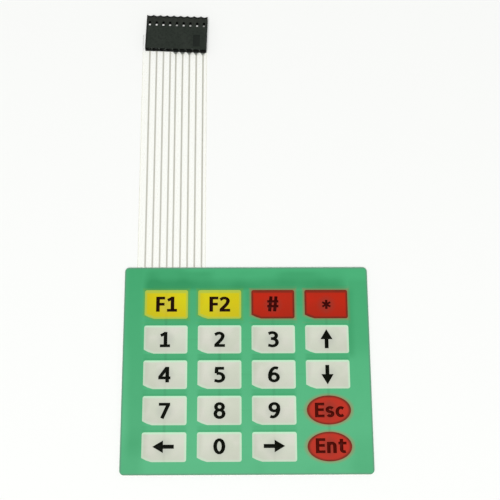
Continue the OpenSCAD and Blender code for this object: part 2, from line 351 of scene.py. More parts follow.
def overlayDark(shade, x, y):
    dusk = overlayDusk
    wobble = (shade.noise(*dusk["wobbleNoise"]) - 0.5) * dusk["wobble"]["reach"]
    # painted shade over the slight ridges of the silver lines that run along the top margin
    top = shade.band(y + wobble * dusk["wobble"]["top"], *dusk["topBand"]) * dusk["topBandShare"]
    patches = shade.step(shade.noise(*dusk["topPatchNoise"]), *dusk["topPatches"])
    spread = shade.step(y, *dusk["topFrom"]) * shade.fade(y, *dusk["topTo"])
    spread = spread * (patches * dusk["topPatchShare"] + dusk["topShare"])
    top = (top + spread) * shade.band(x, *dusk["topAcross"])
    # and over those in the left margin
    shift = shade.fade(y, *dusk["leftShiftBelow"]) * dusk["leftShift"]
    left = shade.band(x + wobble * dusk["wobble"]["left"] - shift, *dusk["leftMargin"])
    left = left * shade.step(y, *dusk["leftFrom"]) * dusk["leftShare"]
    # between the keys of the top row, most of all the red ones, and in the right margin
    red = shade.step(x, *dusk["redHalf"]) * shade.step(y, *dusk["redFrom"]) * dusk["redShare"]
    between = shade.step(y, *dusk["topRowFrom"]) * dusk["topRowShare"] + red
    between = between * shade.fade(y, *dusk["topFrom"]) * shade.band(x, *dusk["keysAcross"])
    right = shade.step(x, *dusk["rightMargin"]) * shade.step(y, *dusk["rightFrom"])
    right = right * shade.fade(y, *dusk["rightTo"]) * dusk["rightShare"]
    dark = shade.largest(top, left, between, right)
    # over the first key, in the lower corners and along the lowest strip
    firstKey = shade.band(x, *dusk["firstKey"]) * shade.step(y, *dusk["topFrom"])
    corners = shade.step(shade.absolute(x), *dusk["cornersAcross"]) * shade.fade(y, *dusk["cornersBelow"])
    lowest = shade.fade(y, *dusk["lowest"])
    dark = dark + firstKey * dusk["firstKeyShare"] + corners * dusk["cornersShare"]
    return dark + lowest * dusk["lowestShare"]


# how far the yellow and the red print run into the green round their keys
inkBleed = {
    "yellow": linear(100, 156, 48),
    "yellowShare": 0.7,
    "red": linear(187, 45, 35),
    "redShare": 0.42,
    "fromKey": (-0.3, 1.2),
    "topRow": (15.5, 16.5),
    "redHalf": (-0.5, 0.5),
    "ovalsAcross": (18, 18.5),
    "ovalsBelow": (-8.5, -8.1),
    "across": (0, 36.4, 0.4),
    "along": (-1.9, 31, 0.4),
}


def bledColour(shade, x, y, colour):
    localX, localY = keyCell(shade, x, y)
    topRow = shade.step(y, *inkBleed["topRow"])
    oval = shade.step(x, *inkBleed["ovalsAcross"]) * shade.fade(y, *inkBleed["ovalsBelow"])
    edge = keyEdge(shade, localX, localY, topRow * keypad["topKeyExtra"])
    edge = edge * (1 - oval) + ovalEdge(shade, localX, localY) * oval
    close = shade.fade(edge, *inkBleed["fromKey"])
    close = close * shade.band(x, *inkBleed["across"]) * shade.band(y, *inkBleed["along"])
    redHalf = shade.step(x, *inkBleed["redHalf"])
    yellow = close * topRow * (1 - redHalf)
    red = close * shade.largest(topRow * redHalf, oval)
    colour = shade.mix(yellow * inkBleed["yellowShare"], colour, inkBleed["yellow"])
    return shade.mix(red * inkBleed["redShare"], colour, inkBleed["red"])


# shade in the narrow gaps between the rows, and a thin line of it over each key's upper edge
gapDusk = {
    "fromMiddle": (4.9, 5.3),
    "fromSides": (6.5, 8.3),
    "across": (0, 36, 1),
    "along": (0, 30, 1),
    "share": 0.17,
    "higher": (-30, 5),
    "higherShare": 0.2,
    "topmost": (8, 12),
    "topmostLess": 0.11,
    "lineOverKey": 0.45,
    "lineHalfWidth": 0.3,
    "lineSoft": 0.3,
    "lineEnds": 0.6,
    "lineAlong": (-6, 22, 1),
    "lineShare": 0.2,
    "rightFrom": (35.2, 35.6),
    "rightTo": (35.6, 38.4),
    "rightAlong": (16, 12, 3),
    "rightShare": 0.45,
    "ovalsAcross": (18, 18.5),
    "ovalsBelow": (-4.6, -4.2),
}


def gapDark(shade, x, y):
    dusk = gapDusk
    localX, localY = keyCell(shade, x, y)
    gap = shade.step(shade.absolute(localY), *dusk["fromMiddle"])
    gap = gap * shade.fade(shade.absolute(localX), *dusk["fromSides"])
    depth = shade.step(y, *dusk["higher"]) * dusk["higherShare"] + dusk["share"]
    depth = depth - shade.step(y, *dusk["topmost"]) * dusk["topmostLess"]
    gap = gap * shade.band(x, *dusk["across"]) * shade.band(y, *dusk["along"]) * depth
    height = keypad["keyHeight"] / 2 + dusk["lineOverKey"]
    line = shade.band(localY, height, dusk["lineHalfWidth"], dusk["lineSoft"])
    line = line * shade.band(localX, 0, keypad["keyWidth"] / 2, dusk["lineEnds"])
    line = line * shade.band(x, *dusk["across"]) * shade.band(y, *dusk["lineAlong"]) * dusk["lineShare"]
    besideOvals = shade.step(x, *dusk["ovalsAcross"]) * shade.fade(y, *dusk["ovalsBelow"])
    # and a soft shade to the right of the upper keys
    right = shade.step(x, *dusk["rightFrom"]) * shade.fade(x, *dusk["rightTo"])
    right = right * shade.band(y, *dusk["rightAlong"]) * dusk["rightShare"]
    return shade.largest((gap + line) * (1 - besideOvals), right)


def overlayMaterial():
    look = overlayLook
    halfWidth = keypad["padWidth"] / 2
    halfHeight = keypad["padHeight"] / 2
    shade = newMaterial("overlayGreen", Roughness=look["rough"], Specular_IOR_Level=look["specular"])
    x, y = shade.place()[:2]
    down = shade.node("ShaderNodeMapRange", Value=y, From_Min=halfHeight, From_Max=-halfHeight)
    colour = shade.mix(down, look["top"], look["bottom"])
    colour = shade.mix(overlayDark(shade, x, y), colour, look["shade"])
    cloud = shade.noise(*look["cloudNoise"]) - 0.5
    colour = shade.mix(cloud * look["cloudShare"], colour, look["shade"])
    colour = bledColour(shade, x, y, colour)
    colour = shade.mix(gapDark(shade, x, y), colour, look["shade"])
    # darker lines over the silver lines inside: show-through and painted shade of their ridges
    colour = shade.mix(printedLines(shade, x, y), colour, look["line"])
    # a darker rim along the pad's border: painted shade of its edge
    inward = shade.smallest(halfWidth - shade.absolute(x), halfHeight - shade.absolute(y))
    colour = shade.mix(shade.fade(inward, *look["rimInward"]) * look["rimShare"], colour, look["rim"])
    return finishPrint(shade, colour, look["rough"], look["roughSpread"])


# colour print of the keys
inkLooks = {
    "white_key_print": {
        "left": linear(201, 206, 189),
        "right": linear(208, 213, 197),
        "patch": linear(214, 213, 202),
        "patchShare": 0.7,
        "disc": linear(186, 190, 178),
        "shadow": linear(180, 184, 168),
        "dusk": {"low": 0.35, "left": 0.5},
        "rim": linear(190, 231, 197),
        "rimInside": 0.95,
        "rims": {"top": 0.9, "right": 0.65, "rest": 0.35},
        "rough": 0.45,
    },
    "yellow_key_print": {
        "left": linear(204, 192, 18),
        "right": linear(209, 201, 22),
        "patch": linear(217, 190, 16),
        "patchShare": 0.5,
        "disc": linear(198, 186, 62),
        "shadow": linear(184, 170, 32),
        "dusk": {"low": 0.35, "left": 0.4},
        "rim": linear(168, 190, 74),
        "rimInside": 1.0,
        "rims": {"top": 0.85, "rest": 0.85},
        "rough": 0.42,
    },
    "red_key_print": {
        "left": linear(182, 37, 13),
        "right": linear(175, 38, 16),
        "patch": linear(192, 35, 16),
        "patchShare": 0.5,
        "disc": linear(142, 50, 38),
        "shadow": linear(150, 30, 12),
        "dusk": {"low": 0.4},
        "rim": linear(98, 38, 22),
        "rimInside": 1.0,
        "rims": {"top": 0.75, "rest": 0.85},
        "rough": 0.40,
    },
}
keyFace = {
    "plainEnds": 2.0,  # how far each field's left and right tones reach in from its cell's sides
    "patchNoise": (6, 2),
    "patches": (0.4, 0.7),
    "leftReach": 3.0,
    "lowReach": 0.5,  # of half the key's height, above its middle
    "discRadius": 4.0,
    "discFull": 0.3,  # of its radius
    "discShare": 0.7,
    "squareKeys": (10, 12),  # the red keys above this are square, the others oval
    "ovalTone": linear(182, 54, 40),
    "ovalShare": 0.6,
    "ovalTrim": 0.12,
    "rimFull": 0.3,  # of its width
    "rimNoise": (3, 1),
    "rimPatches": 0.6,
    "rimLeast": 0.7,
    "lineTone": linear(60, 60, 50),
    "lineShare": 0.35,
    "specular": 0.1,
    "roughSpread": 0.1,
}


def keyRim(shade, look, localX, localY, edge):
    # how far the base print shows at a key's rim: at its top, its right side and the rest
    reach = (-look["rimInside"], -look["rimInside"] * keyFace["rimFull"])
    rim = shade.step(edge, *reach) * look["rims"]["rest"]
    top = shade.step(localY - keypad["keyHeight"] / 2, *reach) * look["rims"]["top"]
    rim = shade.largest(rim, top)
    if "right" in look["rims"]:
        right = shade.step(localX - keypad["keyWidth"] / 2, *reach) * look["rims"]["right"]
        rim = shade.largest(rim, right)
    return rim * (shade.noise(*keyFace["rimNoise"]) * keyFace["rimPatches"] + keyFace["rimLeast"])


def inkMaterial(name, look):
    shade = newMaterial(name.replace("_", ""), Roughness=look["rough"],
                        Specular_IOR_Level=keyFace["specular"])
    x, y = shade.place()[:2]
    localX, localY = keyCell(shade, x, y)
    halfWidth = keypad["keyWidth"] / 2
    halfHeight = keypad["keyHeight"] / 2
    pitch = keypad["pitchX"]
    # neighbouring columns run from one tone to the other and back
    across = shade.math("PINGPONG", x - columnX(0) + pitch / 2, pitch)
    toRight = shade.step(across, keyFace["plainEnds"], pitch - keyFace["plainEnds"])
    colour = shade.mix(toRight, look["left"], look["right"])
    patches = shade.step(shade.noise(*keyFace["patchNoise"]), *keyFace["patches"])
    colour = shade.mix(patches * look["patchShare"], colour, look["patch"])
    # each field is darker towards its lower edge, and most of them towards the left
    dusk = shade.fade(localY, -halfHeight, halfHeight * keyFace["lowReach"]) * look["dusk"]["low"]
    if "left" in look["dusk"]:
        left = shade.fade(localX, -halfWidth, keyFace["leftReach"] - halfWidth) * look["dusk"]["left"]
        dusk = shade.largest(dusk, left)
    colour = shade.mix(dusk, colour, look["shadow"])
    edge = keyEdge(shade, localX, localY, 0 if name == "white_key_print" else keypad["topKeyExtra"])
    if name == "red_key_print":
        square = shade.step(y, *keyFace["squareKeys"])
        oval = ovalEdge(shade, localX, localY) - keyFace["ovalTrim"]
        edge = edge * square + oval * (1 - square)
        colour = shade.mix((1 - square) * keyFace["ovalShare"], colour, keyFace["ovalTone"])
    # a darker disc in each key's middle: painted shade of the soft relief over its contact
    away = shade.math("SQRT", localX * localX + localY * localY)
    disc = shade.fade(away, keyFace["discRadius"] * keyFace["discFull"], keyFace["discRadius"])
    colour = shade.mix(disc * keyFace["discShare"], colour, look["disc"])
    colour = shade.mix(keyRim(shade, look, localX, localY, edge), colour, look["rim"])
    # the same darker lines over the silver lines: show-through and painted shade of their ridges
    lines = printedLines(shade, x, y) * keyFace["lineShare"]
    colour = shade.mix(lines, colour, keyFace["lineTone"])
    return finishPrint(shade, colour, look["rough"], keyFace["roughSpread"])


# the connector's place, turn and size, in millimetres and degrees
connector = {
    "x": -26,
    "y": 121,
    "skew": 2.1,
    "pitch": 2.54,
    "halfWidth": 11.43,
    "length": 14,
    "height": 2.6,
}


def inHousing(x, y):
    # how far a place is in from the housing's rear edge
    turn = math.radians(connector["skew"])
    return (x - connector["x"]) * math.sin(turn) + (y - connector["y"]) * math.cos(turn)


def acrossHousing(x, y):
    # and how far it is to the right of the housing's middle
    turn = math.radians(connector["skew"])
    return (x - connector["x"]) * math.cos(turn) - (y - connector["y"]) * math.sin(turn)


def clearToLight(shade):
    # 0 for the rays that carry light to what lies under a film or a silver line, 1 for the eye
    return 1 - shade.anyRay("Shadow", "Diffuse", "Glossy")


# silver print, with a dark tone where the tail runs in under the housing: carbon print over the silver
# where the contacts bite, and painted shadow of the housing
silverLooks = {
    "column_trace": {"light": linear(189, 188, 180), "dark": linear(168, 167, 159)},
    "row_trace": {"light": linear(187, 186, 179), "dark": linear(166, 165, 158)},
}
silverFace = {
    "flakeNoise": (0.05, 2),
    "flakeShare": 0.4,
    "patchNoise": (2.5, 2),
    "patchShare": 0.2,
    "metal": 0.3,
    "specular": 0.2,
    "rough": 0.5,
    "roughSpread": 0.2,
}
carbonAndShadow = {
    "tone": linear(32, 34, 32),
    "silverFrom": (-0.8, -0.5),
    "filmFrom": (-0.9, -0.6),
}


def silverTone(shade, x, y, look):
    flakes = shade.noise(*silverFace["flakeNoise"])
    patches = shade.noise(*silverFace["patchNoise"])
    darker = flakes * silverFace["flakeShare"] + patches * silverFace["patchShare"]
    tone = shade.mix(darker, look["light"], look["dark"])
    tone = shade.mix(shade.step(inHousing(x, y), *carbonAndShadow["silverFrom"]), tone, carbonAndShadow["tone"])
    return tone, (flakes - 0.5) * silverFace["roughSpread"] + silverFace["rough"]


def silverMaterial(name, look):
    shade = newMaterial(name.replace("_trace", "Silver"), Metallic=silverFace["metal"],
                        Specular_IOR_Level=silverFace["specular"])
    x, y = shade.place()[:2]
    tone, rough = silverTone(shade, x, y, look)
    return shade.finish(Base_Color=tone, Roughness=rough, Alpha=clearToLight(shade))


# the tail, which rises in a smooth S up to the connector, and its silver lines
tail = {
    "left": -38.3,
    "right": -14.3,
    "from": (36, 36.5),
    "rise": 0.85,
    "riseFrom": 40,
    "riseTo": 115,
    "linePitch": 2.54,
    "lineHalfWidth": 0.3,
    "lineSoft": 0.008,
    "endSoft": 0.1,
    "lineLevel": {"halfHeight": 0.02, "soft": 0.01},
}
tailLines = {
    "column_trace": {"first": -35.606, "count": 4, "level": 0.515},
    "row_trace": {"first": -25.896, "count": 5, "level": 0.385},
}


def onLine(shade, x, y, z, line):
    # 1 where a film touches a silver line of the tail
    along = shade.node("ShaderNodeMapRange", Value=y, From_Min=tail["riseFrom"], From_Max=tail["riseTo"])
    level = z - (1 - shade.math("COSINE", along * math.pi)) * (tail["rise"] / 2)
    atLevel = shade.band(level, line["level"], tail["lineLevel"]["halfHeight"], tail["lineLevel"]["soft"])
    pitch = tail["linePitch"]
    reach = (line["count"] - 1) * pitch / 2
    amongLines = shade.band(x, line["first"] + reach, reach + 2 * tail["lineHalfWidth"], tail["endSoft"])
    near = shade.band(shade.math("PINGPONG", x - line["first"], pitch / 2), 0,
                      tail["lineHalfWidth"], tail["lineSoft"])
    return near * amongLines * atLevel


# clear films and adhesives. Haze and edge are how much their faces and their cut edges hide what is
# behind, and gloss is how much more a face hides when it is seen at a low angle.
filmLooks = {
    "clearFilm": {"tone": (248, 248, 30), "haze": 0.0065, "edge": 0.2, "rough": 0.18, "gloss": 0.4},
    "spacerFilm": {"tone": (248, 248, 30), "haze": 0.0065, "edge": 0.15, "rough": 0.4, "gloss": 0.2},
    "clearAdhesive": {"tone": (236, 236, 226), "haze": 0.5, "edge": 0.8, "rough": 0.5, "gloss": 0.1},
}
filmFace = {
    "upright": (0.5, 0.9),
    "edgeDarker": 26,
    "rimWidth": 0.3,  # the tail's long edges carry a thin grey line of painted shade
    "rimHaze": 0.12,
    "rimTone": linear(190, 191, 186),
    "glareTone": linear(206, 209, 205),
    "glarePower": 4,
    "glareGain": 8,
    "streakNoise": (3, 2, 0.5, (1, 0.08, 1)),
    "streakHaze": 0.3,
    "roughSpread": 0.16,
    "waveNoise": (20, 1),
    "waveBump": (0.3, 0.2),
}


def filmMaterial(name, look):
    face = filmFace
    shade = newMaterial(name, Specular_IOR_Level=silverFace["specular"])
    x, y, z = shade.place()
    streak = shade.noise(*face["streakNoise"])
    upright = shade.split(shade.node("ShaderNodeNewGeometry", output="Normal"))[2]
    flat = shade.step(shade.absolute(upright), *face["upright"])
    inside = shade.smallest(x - tail["left"], tail["right"] - x)
    # a thin grey line of painted shade along the tail's long edges
    rim = shade.fade(inside, 0, face["rimWidth"]) * shade.step(y, *tail["from"])
    edgeTone = linear(*[max(0, v - face["edgeDarker"]) for v in look["tone"]])
    tone = shade.mix(flat, edgeTone, linear(*look["tone"]))
    tone = shade.mix(rim, tone, face["rimTone"])
    # painted shadow of the housing where the tail runs in under it
    tone = shade.mix(shade.step(inHousing(x, y), *carbonAndShadow["filmFrom"]), tone, carbonAndShadow["tone"])
    # at a low angle a film is glossy, and hides more
    facing = shade.node("ShaderNodeLayerWeight", output="Facing")
    glare = shade.math("POWER", facing, face["glarePower"]) * flat
    tone = shade.mix(shade.smallest(glare * face["glareGain"], 1), tone, face["glareTone"])
    hiding = flat * (look["haze"] - look["edge"]) + look["edge"]
    hiding = (streak * face["streakHaze"] + (1 - face["streakHaze"] / 2)) * hiding
    hiding = hiding + rim * face["rimHaze"] + glare * look["gloss"]
    rough = (streak - 0.5) * face["roughSpread"] + look["rough"]
    # a film takes the look of the silver lines where it touches them
    metal = 0
    for kind, line in tailLines.items():
        silver = onLine(shade, x, y, z, line)
        lineTone, lineRough = silverTone(shade, x, y, silverLooks[kind])
        tone = shade.mix(silver, tone, lineTone)
        rough = rough + (lineRough - rough) * silver
        hiding = shade.largest(hiding, silver)
        metal = metal + silver * silverFace["metal"]
    waves = shade.bump(shade.noise(*face["waveNoise"]), *face["waveBump"])
    made = shade.finish(Base_Color=tone, Roughness=rough, Metallic=metal, Normal=waves,
                        Alpha=hiding * clearToLight(shade))
    made.surface_render_method = "BLENDED"
    return made


# tinned contacts, each painted at its own brightness as painted highlight and shade for how much light it
# catches
tinLook = {
    "shines": {"bright": 255, "plain": 226, "dull": 190, "faint": 165},
    "levels": {4: "plain", 5: "dull", 6: "plain", 7: "dull", 8: "plain", 9: "faint"},
    "plateLess": (0, 0, 3),  # how far below the shine the red, green and blue are
    "spangleLess": (28, 29, 33),
    "spangleNoise": (0.35, 3),
    "spangleShare": 0.5,
    "spangleHeight": 0.4,
    "rolledNoise": (0.15, 2, 0.5, (1, 0.1, 1)),
    "rolledHeight": 0.6,
    "bump": (0.2, 0.02),
    "crimped": (6, 7),
    "tabTone": linear(116, 120, 114),
    "plateTone": linear(18, 20, 18),
    "plateFrom": (-1.2, -0.85),
    "latch": (10, 0.7, 0.1),
    "latchEdge": linear(44, 46, 43),
    "besideLatch": (0.29, 0.39),
    "latchBend": (10.17, 10.37),
    "specular": 0.2,
    "metal": 0.55,
    "latchMetal": 0.1,
    "rough": 0.32,
    "crimpedRough": 0.15,
    "roughSpread": 0.2,
}


def tinMaterial(name, shine):
    look = tinLook
    shade = newMaterial(name, Specular_IOR_Level=look["specular"])
    x, y = shade.place()[:2]
    spangle = shade.noise(*look["spangleNoise"])
    rolled = shade.noise(*look["rolledNoise"])
    plate = linear(*[shine - less for less in look["plateLess"]])
    spangled = linear(*[shine - less for less in look["spangleLess"]])
    tone = shade.mix(spangle * look["spangleShare"], plate, spangled)
    # the crimped ends are painted dark: grey at the tab tips as painted reflection of their dark
    # surroundings, and near black close to and inside the housing as its painted shadow
    inward = inHousing(x, y)
    crimped = shade.fade(inward, *look["crimped"])
    dull = shade.mix(shade.step(inward, *look["plateFrom"]), look["tabTone"], look["plateTone"])
    tone = shade.mix(crimped, tone, dull)
    # and the latch is painted dark along its sides and where it bends down, as painted shade in its window
    aside = shade.math("PINGPONG", acrossHousing(x, y), connector["pitch"] / 2)
    beside = shade.step(aside, *look["besideLatch"])
    bent = shade.step(inward, *look["latchBend"])
    atLatch = shade.band(inward, *look["latch"])
    tone = shade.mix(shade.largest(beside, bent) * atLatch, tone, look["latchEdge"])
    rough = (spangle - 0.5) * look["roughSpread"] + look["rough"] + crimped * look["crimpedRough"]
    metal = look["metal"] - atLatch * (look["metal"] - look["latchMetal"])
    height = rolled * look["rolledHeight"] + spangle * look["spangleHeight"]
    bumps = shade.bump(height, *look["bump"])
    return shade.finish(Base_Color=tone, Roughness=rough, Metallic=metal, Normal=bumps)


# moulded housing
housingLook = {
    "body": linear(35, 41, 35),
    "front": linear(39, 42, 37),
    "frontFrom": (9.6, 10.8),
    "cloud": linear(50, 54, 49),
    "cloudNoise": (3.5, 2, 0.5, (1, 0.4, 1)),
    "clouds": (0.35, 0.75),
    "cloudShare": 0.3,
    "dark": linear(16, 21, 17),
    "speckNoise": (0.8, 2),
    "specks": (0.42, 0.68),
    "speckShare": 0.45,
    "markFloor": (2.49, 0.04, 0.02),
    "markShare": 0.8,
    "lip": linear(9, 11, 9),
    "lipFrom": (-0.85, -0.55),
    "leftEdge": (0.7, 0.4),
    "leftShare": 0.7,
    "deep": linear(9, 11, 9),
    "wall": 0.2,
    "wallTo": 0.3,
    "funnelDepth": 1.3,
    "funnelRadius": 1.95,
    "holeRadius": 0.5,
    "textureNoise": (0.16, 3),
    "bump": (0.35, 0.03),
    "specular": 0.12,
    "rough": 0.5,
    "roughSpread": 0.2,
}


def frontLip(shade, x, y):
    # 1 on the lip that the pins' lead-ins cut into the front edge
    look = housingLook
    aside = shade.math("PINGPONG", acrossHousing(x, y), connector["pitch"] / 2)
    radius = shade.math("SQRT", aside * aside + (connector["height"] / 2) ** 2)
    slope = look["funnelDepth"] / (look["funnelRadius"] - look["holeRadius"])
    cut = (radius - look["holeRadius"]) * slope
    fromLip = inHousing(x, y) - cut - (connector["length"] - look["funnelDepth"])
    return shade.step(fromLip, *look["lipFrom"])


def housingMaterial():
    look = housingLook
    shade = newMaterial("blackNylon", Specular_IOR_Level=look["specular"])
    x, y, z = shade.place()
    inward = inHousing(x, y)
    across = acrossHousing(x, y)
    halfWidth = connector["halfWidth"]
    colour = shade.mix(shade.step(inward, *look["frontFrom"]), look["body"], look["front"])
    clouds = shade.step(shade.noise(*look["cloudNoise"]), *look["clouds"])
    colour = shade.mix(clouds * look["cloudShare"], colour, look["cloud"])
    specks = shade.step(shade.noise(*look["speckNoise"]), *look["specks"])
    colour = shade.mix(specks * look["speckShare"], colour, look["dark"])
    # the front lip and the left edge are darker, the lip as painted shade in the pins' lead-in funnels
    leftEdge = shade.step(-1 * across, *[halfWidth - inside for inside in look["leftEdge"]])
    lip = shade.largest(frontLip(shade, x, y), leftEdge * look["leftShare"])
    colour = shade.mix(lip, colour, look["lip"])
    # so are the floor of the shallow mark, and the bevels at its depth, as painted shade in the recess
    colour = shade.mix(shade.band(z, *look["markFloor"]) * look["markShare"], colour, look["dark"])
    # and the hollows, as all that lies deeper than the wall, are painted in shade
    wall = look["wall"]
    depth = shade.smallest(inward, connector["length"] - inward, halfWidth - shade.absolute(across),
                           shade.smallest(z, connector["height"] - z) + wall / 2)
    colour = shade.mix(shade.step(depth, wall, look["wallTo"]), colour, look["deep"])
    texture = shade.noise(*look["textureNoise"])
    rough = (texture - 0.5) * look["roughSpread"] + look["rough"]
    return shade.finish(Base_Color=colour, Roughness=rough, Normal=shade.bump(texture, *look["bump"]))


# paper over the rear adhesive
linerLook = {
    "paper": linear(226, 222, 208),
    "cloud": linear(210, 204, 188),
    "cloudNoise": (7, 3),
    "cloudShare": 0.6,
    "fibre": linear(190, 182, 162),
    "fibreNoise": (0.6, 4, 0.6, (1, 0.35, 1)),
    "fibres": (0.55, 0.75),
    "fibreShare": 0.35,
    "bump": (0.25, 0.03),
    "specular": 0.3,
    "rough": 0.5,
    "roughSpread": 0.2,
}


def linerMaterial():
    look = linerLook
    shade = newMaterial("linerPaper", Specular_IOR_Level=look["specular"])
    shade.place()
    fibre = shade.noise(*look["fibreNoise"])
    cloud = shade.noise(*look["cloudNoise"])
    colour = shade.mix(cloud * look["cloudShare"], look["paper"], look["cloud"])
    colour = shade.mix(shade.step(fibre, *look["fibres"]) * look["fibreShare"], colour, look["fibre"])
    rough = (fibre - 0.5) * look["roughSpread"] + look["rough"]
    return shade.finish(Base_Color=colour, Roughness=rough, Normal=shade.bump(fibre, *look["bump"]))


def dressNodes():
    films = {name: filmMaterial(name, look) for name, look in filmLooks.items()}
    silver = {name: silverMaterial(name, look) for name, look in silverLooks.items()}
    tin = {level: tinMaterial(level + "Tin", shine) for level, shine in tinLook["shines"].items()}
    looks = {
        "graphic_overlay": overlayMaterial(),
        "connector_housing": housingMaterial(),
        "release_liner": linerMaterial(),
        "lower_circuit_film": films["clearFilm"],
        "upper_circuit_film": films["clearFilm"],
        "circuit_spacer": films["spacerFilm"],
        "overlay_adhesive": films["clearAdhesive"],
        "rear_adhesive": films["clearAdhesive"],
    }
    for name, look in inkLooks.items():
        looks[name] = inkMaterial(name, look)
    for name, piece in nodes.items():
        if "_trace_" in name:
            looks[name] = silver[name[:-2]]
        if name.startswith("contact_"):
            looks[name] = tin[tinLook["levels"].get(int(name[-1]), "bright")]
        piece.data.materials.clear()
        piece.data.materials.append(looks[name])
    print("stage: materials on", len(looks), "nodes")


# legends, drawn as strokes of a broad pen: heavier upright than level
legend = {
    "upright": 1.27,
    "level": 1.0,
    "height": 5.4,
    "overshoot": 0.17,
    "inkThickness": 0.012,
    "inkSunk": 0.002,
    "arcSteps": 14,
    "closeTo": 0.001,
    "mergeWithin": 0.004,
}
# their print takes a warmer tone on the colours
legendInks = {
    "black": {"material": "legendBlack", "tone": (4, 7, 1)},
    "umber": {"material": "legendOnYellow", "tone": (24, 5, 0)},
    "brown": {"material": "legendOnRed", "tone": (54, 2, 0)},
    "rust": {"material": "legendOnOvals", "tone": (70, 6, 0)},
}
legendFace = {
    "cloudNoise": (0.5, 2),
    "cloudShare": 0.5,
    "paler": 10,
    "specular": 0.03,
    "rough": 0.45,
    "roughSpread": 0.1,
}


def legendMaterial(name, tone):
    look = legendFace
    shade = newMaterial(name, Specular_IOR_Level=look["specular"])
    shade.place()
    cloud = shade.noise(*look["cloudNoise"])
    paler = linear(*[v + look["paler"] for v in tone])
    colour = shade.mix(cloud * look["cloudShare"], linear(*tone), paler)
    return shade.finish(Base_Color=colour, Roughness=(cloud - 0.5) * look["roughSpread"] + look["rough"])


def arc(cx, cy, rx, ry, start, end):
    steps = legend["arcSteps"]
    turns = [math.radians(start + (end - start) * k / steps) for k in range(steps + 1)]
    return [(cx + rx * math.cos(t), cy + ry * math.sin(t)) for t in turns]


def glyphs():
    # strokes of each sign, in millimetres from its middle
    top = legend["height"] / 2
    low = -top
    edge = top - legend["level"] / 2
    bowl = edge + legend["overshoot"]
    six = [arc(0.18, -1.1, 1.41, bowl - 1.1, 0, 360), arc(0.75, -0.8, 2.0, edge + 0.8, 180, 66)]
    nine = [[(0.32 - x, -y) for x, y in stroke] for stroke in six]
    spokes = [Vector((math.cos(t), math.sin(t))) * 1.62
              for t in (math.radians(30), math.radians(90), math.radians(150))]
    return {
        "0": [arc(0.15, 0, 1.41, edge, 0, 360)],
        "1": [[(0.05, low), (0.05, top)], [(-1.85, -edge), (1.65, -edge)], [(0.25, 2.3), (-1.6, 1.4)]],
        "2": [[(-1.5, 1.62)] + arc(-0.08, 1.17, 1.3, edge - 1.17, 140, -20)
              + [(0.88, 0.2), (0.35, -0.45), (-0.3, -1.12), (-1.2, -2.0)], [(-1.7, -edge), (1.98, -edge)]],
        "3": [[(-1.55, 2.0)] + arc(-0.25, 1.3, 1.38, bowl - 1.3, 122, -90),
              arc(-0.25, -1.08, 1.62, bowl - 1.08, 90, -118) + [(-1.68, -2.05)],
              [(-0.75, 0.23), (-0.2, 0.23)]],
        "4": [[(0.95, low), (0.95, top)], [(-2.1, -1.14), (2.05, -1.14)], [(0.8, 2.4), (-1.7, -1.1)]],
        "5": [[(-1.45, edge), (1.65, edge)], [(-0.92, edge), (-0.98, 0.45)],
              arc(-0.2, -0.92, 1.62, bowl - 0.99, 118, -122) + [(-1.65, -2.04)]],
        "6": six,
        "7": [[(-1.85, edge), (1.98, edge)], [(1.42, edge), (-0.75, low + 0.1)]],
        "8": [arc(0.17, 1.27, 1.23, bowl - 1.27, 0, 360), arc(0.17, -1.07, 1.43, bowl - 1.07, 0, 360)],
        "9": nine,
        "F": [[(-0.95, low), (-0.95, top)], [(-1.0, edge), (1.5, edge)], [(-1.0, 0), (1.35, 0)]],
        "E": [[(-1.15, low), (-1.15, top)], [(-1.2, edge), (1.7, edge)], [(-1.2, 0.1), (1.5, 0.1)],
              [(-1.2, -edge), (1.7, -edge)]],
        "s": [arc(0.05, 0.13, 1.05, 0.8, 28, 270) + arc(0.07, -1.44, 0.92, edge - 1.44, 90, -158)[1:]],
        "c": [arc(0.3, -0.66, 1.35, edge - 0.66, 48, 312)],
        "n": [[(-1.12, low), (-1.12, 1.38)], arc(0.02, -0.15, 1.1, 1.08, 165, 0) + [(1.12, low)]],
        "t": [[(-0.35, 2.45)] + arc(0.65, -1.4, 1.0, edge - 1.4, 180, 300), [(-1.5, 0.92), (1.5, 0.92)]],
        "#": [[(-1.15, low), (-0.6, top)], [(0.6, low), (1.15, top)], [(-1.95, 0.88), (1.95, 0.88)],
              [(-1.95, -0.86), (1.95, -0.86)]],
        "*": [[tuple(spoke), tuple(-spoke)] for spoke in spokes],
    }


